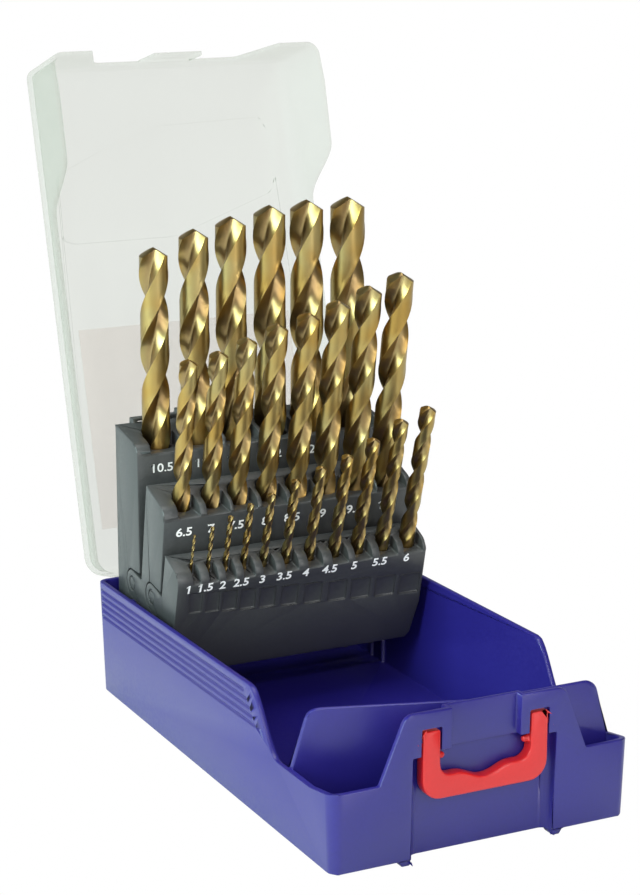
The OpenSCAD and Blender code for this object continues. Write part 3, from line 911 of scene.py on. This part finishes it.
@dataclass(frozen=True)
class DrillShape:
    """What all the twist drills share.

    The lead and the run-out are in diameters, the angles in degrees, the foot's chamfer (its
    inset and its height) in millimetres, and the rest in shares.
    """

    lead: float = 5.44
    run_out: float = 1.1
    point_angle: float = 118.0
    land: float = 84.0
    margin: float = 7.0
    lip_direction: float = 220.3
    crease: float = 40.0
    body_clearance: float = 0.03
    web_depth: float = 0.66
    flute_lean: float = 0.86
    flute_fullness: float = 0.72
    heel_slope: float = 0.34
    gable_share: float = 0.45
    tip_rings: tuple[float, ...] = (0.72, 0.66, 0.55, 0.3)
    foot_chamfer: tuple[float, float] = (0.25, 0.4)
    around: int = 60
    rings_a_turn: int = 30
    fewest_rings: int = 12

    def share(self, angle: float) -> float:
        """Return the flute's depth at an angle, from 0 on the land to 1 at the web.

        Args:
            angle: The angle round the axis, in degrees, with no twist.

        Returns:
            The depth.
        """
        b = angle % 180.0
        if b <= self.land:
            return 0.0
        along = (b - self.land) / (180.0 - self.land)
        return math.sin(math.pi * along**self.flute_lean) ** self.flute_fullness

    def radius(self, angle: float, cut: float) -> float:
        """Return the section's radius at an angle, as a share of the drill's.

        Args:
            angle: The angle round the axis, in degrees, with no twist.
            cut: How deep the flutes are here, from 0 to 1.

        Returns:
            The radius.
        """
        b = angle % 180.0
        if b <= self.land - self.margin:
            return 1.0 - self.body_clearance * cut
        return 1.0 - self.web_depth * cut * self.share(angle)


@dataclass
class TwistDrill:
    """One twist drill: shank, two right-handed flutes and a ground point."""

    size: float
    length: float
    flute_length: float
    finishes: Finishes
    shape: DrillShape = field(default_factory=DrillShape)

    def node(self) -> str:
        """Return the name of the drill's CAD node and body."""
        whole = int(self.size)
        return f"drill_{whole}" if self.size == whole else f"drill_{whole}_5"

    def build(self) -> None:
        """Model the drill upright on the origin, then set it in its rack."""
        body = self._bar()
        self._cut_flutes(body)
        self._twist(body)
        Bench.settle(body, self._seat())
        Bench.smooth(body, self.shape.crease)
        Bench.dress(body, self.finishes.gold)
        Bench.hand_over(body, self.node(), Slot.DRILL, (self.node(),))

    def _bar(self) -> bpy.types.Object:
        """Return a straight bar with rings where the flutes go and nested rings on top."""
        shape = self.shape
        Bench.clear()
        bpy.ops.mesh.primitive_cylinder_add(
            vertices=shape.around,
            radius=self.size / 2,
            depth=self.flute_length,
            end_fill_type="NGON",
            location=(0, 0, self.length - self.flute_length / 2),
        )
        bar = Bench.added(self.node() + "_bit")
        Bench.settle(bar, Matrix.Identity(4))
        top, start = self.length, self.length - self.flute_length
        turns = self.flute_length / (shape.lead * self.size)
        rings = max(int(turns * shape.rings_a_turn), shape.fewest_rings)
        with Bench.editing(bar) as mesh:
            bpy.ops.mesh.select_mode(type="EDGE")
            for edge in mesh.edges:
                a, b = (v.co.z for v in edge.verts)
                edge.select_set(abs(a - b) > self.flute_length / 2)
            bpy.ops.mesh.subdivide(number_cuts=rings)
            middle = Vector((0, 0, top))
            Bench.choose_faces(bar, lambda c, n: n.z > END_FACING)
            for inner in shape.tip_rings:
                bpy.ops.mesh.extrude_region_move()
                bpy.ops.transform.resize(value=(inner, inner, 1), center_override=middle)
            Bench.choose_faces(bar, lambda c, n: n.z < -END_FACING)
            inset, tall = shape.foot_chamfer
            bpy.ops.mesh.extrude_region_move(
                TRANSFORM_OT_translate={"value": (0, 0, tall - start)}
            )
            bpy.ops.mesh.extrude_region_move(TRANSFORM_OT_translate={"value": (0, 0, -tall)})
            narrow = 1 - inset / (self.size / 2)
            bpy.ops.transform.resize(value=(narrow, narrow, 1), center_override=Vector((0, 0, 0)))
        return bar

    def _cut_flutes(self, bar: bpy.types.Object) -> None:
        """Press the flutes into the bar, shallow at first, and grind its point.

        Args:
            bar: The straight bar.
        """
        shape = self.shape
        start = self.length - self.flute_length
        steep = 1 / math.tan(math.radians(shape.point_angle / 2))
        lip = math.radians(shape.land)
        # Keep each corner's flute depth; the gold finish uses it to paint shade down in the flutes.
        depths = bar.data.attributes.new("flute_depth", "FLOAT", "POINT")
        for vertex in bar.data.vertices:
            x, y, z = vertex.co
            reach, angle = math.hypot(x, y), math.degrees(math.atan2(y, x))
            if z < start + NEAR:
                continue
            run = min((z - start) / (shape.run_out * self.size), 1.0)
            cut = math.sin(run * math.pi / 2)
            share = shape.radius(angle, cut)
            x, y = x * share, y * share
            along = x * math.cos(lip) + y * math.sin(lip)
            behind = x * math.sin(lip) - y * math.cos(lip)
            cone = steep * reach * share
            if z > self.length - NEAR:
                gable = abs(steep * along + shape.heel_slope * behind)
                z = self.length - shape.gable_share * gable - (1 - shape.gable_share) * cone
            else:
                tall = (z - start) / self.flute_length
                z = start + tall * (self.flute_length - cone)
            vertex.co = (x, y, z)
            outward = min(reach / self.size * 2, 1)
            depths.data[vertex.index].value = cut * shape.share(angle) * outward

    def _twist(self, bar: bpy.types.Object) -> None:
        """Twist the fluted length to the right and turn the lips as they stand.

        Args:
            bar: The fluted bar.
        """
        shape = self.shape
        start = self.length - self.flute_length
        turn = 360.0 / (shape.lead * self.size)
        spin = shape.lip_direction - shape.land - turn * self.flute_length
        for vertex in bar.data.vertices:
            angle = math.radians(spin + turn * max(vertex.co.z - start, 0.0))
            vertex.co = Matrix.Rotation(angle, 3, "Z") @ vertex.co

    def _seat(self) -> Matrix:
        """Return where the drill stands, from the CAD node's own place.

        Returns:
            The matrix from the drill's millimetres to the model's metres.
        """
        along = Vector(joint(self.node() + "_lift")["axis"]).normalized()
        lift = along if along.z > 0 else -along
        mesh = frame["nodes"][self.node()].data
        ends = [lift.dot(v.co) for v in mesh.vertices]
        low = min(ends) + FOOT_GAP
        foot = [v.co for v, end in zip(mesh.vertices, ends) if end < low]
        base = sum(foot, Vector()) / len(foot)
        stand = Vector((0, 0, 1)).rotation_difference(lift).to_matrix().to_4x4()
        return Matrix.Translation(base) @ stand @ Matrix.Scale(MM, 4)


@dataclass
class DrillSet:
    """The twenty-five drills: size, overall length and flute length, by rack."""

    finishes: Finishes
    rear: tuple = (
        (10.5, 133, 87), (11, 142, 94), (11.5, 142, 94),
        (12, 151, 101), (12.5, 151, 101), (13, 151, 101),
    )  # fmt: skip
    middle: tuple = (
        (6.5, 101, 63), (7, 109, 69), (7.5, 109, 69), (8, 117, 75),
        (8.5, 117, 75), (9, 125, 81), (9.5, 125, 81), (10, 133, 87),
    )  # fmt: skip
    front: tuple = (
        (1, 34, 12), (1.5, 40, 18), (2, 49, 24), (2.5, 57, 30), (3, 61, 33), (3.5, 70, 39),
        (4, 75, 43), (4.5, 80, 47), (5, 86, 52), (5.5, 93, 57), (6, 93, 57),
    )  # fmt: skip

    def build(self) -> None:
        """Model every drill."""
        for size, length, flutes in self.rear + self.middle + self.front:
            TwistDrill(size, length, flutes, self.finishes).build()


# ---------------------------------------------------------------- studio


@dataclass
class Studio:
    """Floor, lights and camera. The camera stands where the photograph's did.

    The distance and the target are in tray millimetres, and the lamps' aim in metres.
    """

    azimuth: float = -26.733
    elevation: float = 14.359
    distance: float = 806.102
    target: tuple[float, float, float] = (-10.313, 0.0, 109.751)
    focal_pixels: float = 2386.63
    image_height: int = 895
    sensor: float = 36.0
    ambient: float = 0.42
    aim: tuple[float, float, float] = (0.0, 0.0, 0.08)

    def build(self) -> None:
        """Set up the whole studio."""
        self._floor()
        self._world()
        self._lights()
        self._camera()
        scene = bpy.context.scene
        scene.view_settings.view_transform = "Standard"

    @staticmethod
    def _seen_directly(sheet: NodeSheet) -> tuple[bpy.types.Node, bpy.types.NodeSocket]:
        """Add a mask of what the camera sees itself or through clear plastic.

        Args:
            sheet: The sheet to add to.

        Returns:
            The light path node and the mask's socket.
        """
        path = sheet.add("ShaderNodeLightPath")
        inputs = {0: path.outputs["Is Camera Ray"], 1: path.outputs["Is Transmission Ray"]}
        return path, sheet.add("ShaderNodeMath", inputs, operation="MAXIMUM").outputs[0]

    def _floor(self) -> None:
        """Lay a pale floor that the camera sees as white."""
        Bench.clear()
        bpy.ops.mesh.primitive_plane_add(size=12, location=(0, 0, 0))
        floor = Bench.added("studio_floor")
        material, sheet = NodeSheet.material("pale_floor")
        _, seen = self._seen_directly(sheet)
        matt = sheet.add(
            "ShaderNodeBsdfPrincipled", {"Base Color": (0.85, 0.85, 0.85, 1), "Roughness": 0.9}
        )
        white = sheet.add("ShaderNodeEmission", {"Color": (1, 1, 1, 1), "Strength": 1.0})
        shown = sheet.add("ShaderNodeMixShader", {0: seen, 1: matt.outputs[0], 2: white.outputs[0]})
        sheet.add("ShaderNodeOutputMaterial", {"Surface": shown.outputs[0]})
        Bench.dress(floor, material)

    def _world(self) -> None:
        """Light softly from all round, and show white to the camera, gloss and clear plastic."""
        world = bpy.data.worlds.new("studio_world")
        bpy.context.scene.world = world
        world.use_nodes = True
        sheet = NodeSheet(world.node_tree)
        path, direct = self._seen_directly(sheet)
        way = sheet.add("ShaderNodeTexCoord").outputs["Generated"]
        parts = sheet.add("ShaderNodeSeparateXYZ", {0: way})
        high = sheet.ranged(parts.outputs["Z"], (0.05, 0.55), (1.0, 0.12))
        side = sheet.ranged(parts.outputs["X"], (-0.2, 0.9), (1.0, 0.35))
        shine = sheet.add("ShaderNodeMath", {0: high, 1: side}, operation="MULTIPLY").outputs[0]
        glossy = path.outputs["Is Glossy Ray"]
        gloss = sheet.add("ShaderNodeMix", {0: glossy, 2: self.ambient, 3: shine})
        level = sheet.add("ShaderNodeMix", {0: direct, 2: gloss.outputs[0], 3: 1.0}).outputs[0]
        sky = sheet.add("ShaderNodeBackground", {"Color": (1, 1, 1, 1), "Strength": level})
        sheet.add("ShaderNodeOutputWorld", {"Surface": sky.outputs[0]})

    def _lights(self) -> None:
        """Hang soft boxes at the left, in front and above, and a narrow strip in front."""
        square = (0.9, 0.9)
        self._soft_box("left_box", (-1.3, -0.15, 0.75), square, 35.0, (0.75, 1.0, 0.98))
        self._soft_box("front_box", (-0.35, -1.5, 0.9), square, 11.0)
        self._soft_box("top_box", (0.1, -0.1, 1.6), square, 12.0)
        self._soft_box("strip", (0.33, -1.4, 0.45), (0.05, 1.6), 7.0)

    def _soft_box(
        self,
        name: str,
        place: tuple[float, float, float],
        size: tuple[float, float],
        power: float,
        colour: tuple[float, float, float] = (1.0, 1.0, 1.0),
    ) -> None:
        """Hang one soft box, turned to the case.

        Args:
            name: The lamp's name.
            place: Where it hangs, in metres.
            size: Its width and height, in metres.
            power: Its power in watts.
            colour: Its light's colour.
        """
        lamp = bpy.data.lights.new(name, "AREA")
        lamp.shape = "RECTANGLE"
        lamp.size, lamp.size_y = size
        lamp.energy = power
        lamp.color = colour
        box = bpy.data.objects.new(name, lamp)
        bpy.context.scene.collection.objects.link(box)
        box.location = place
        way = Vector(self.aim) - Vector(place)
        box.rotation_mode = "QUATERNION"
        box.rotation_quaternion = way.to_track_quat("-Z", "Y")

    def _camera(self) -> None:
        """Set the camera at the photograph's viewing angle."""
        lens = bpy.data.cameras.new("photo_camera")
        lens.sensor_width = self.sensor
        lens.lens = self.focal_pixels * self.sensor / self.image_height
        lens.clip_start, lens.clip_end = 0.01, 50.0
        camera = bpy.data.objects.new("photo_camera", lens)
        bpy.context.scene.collection.objects.link(camera)
        a, e = math.radians(self.azimuth), math.radians(self.elevation)
        back = Vector((math.sin(a) * math.cos(e), -math.cos(a) * math.cos(e), math.sin(e)))
        camera.location = CASE.matrix() @ (Vector(self.target) + back * self.distance)
        camera.rotation_mode = "QUATERNION"
        camera.rotation_quaternion = (-back).to_track_quat("-Z", "Y")
        bpy.context.scene.camera = camera


# ---------------------------------------------------------------- putting it together


REAR_NUMBERS = NumberRow(
    67.3, 90.2,
    {"10.5": -39.9, "11": -24.3, "11.5": -9.7, "12": 5.2, "12.5": 20.9, "13": 37.5},
)  # fmt: skip
MIDDLE_NUMBERS = NumberRow(
    49.2, 76.9,
    {
        "6.5": -41.5, "7": -31.3, "7.5": -21.4, "8": -10.0,
        "8.5": 0.8, "9": 13.1, "9.5": 25.9, "10": 38.4,
    },
    slant=0.04, weight=0.02,
)  # fmt: skip
FRONT_NUMBERS = NumberRow(
    35.6, 63.1,
    {
        "1": -45.2, "1.5": -38.9, "2": -32.2, "2.5": -25.0, "3": -16.8, "3.5": -8.2,
        "4": 0.4, "4.5": 10.0, "5": 19.9, "5.5": 30.3, "6": 41.3,
    },
    slant=0.1, tall=4.2, weight=0.02,
)  # fmt: skip


def main() -> None:
    """Build every piece in order and set up the studio."""
    finishes = Finishes()
    Tray(finishes).build()
    Handle(finishes).build()
    Lid(finishes).build()
    for row, numbers in (
        (Row.REAR, REAR_NUMBERS),
        (Row.MIDDLE, MIDDLE_NUMBERS),
        (Row.FRONT, FRONT_NUMBERS),
    ):
        Rack(row, numbers, finishes).build()
    DrillSet(finishes).build()
    Studio().build()


if __name__ == "__main__":
    main()
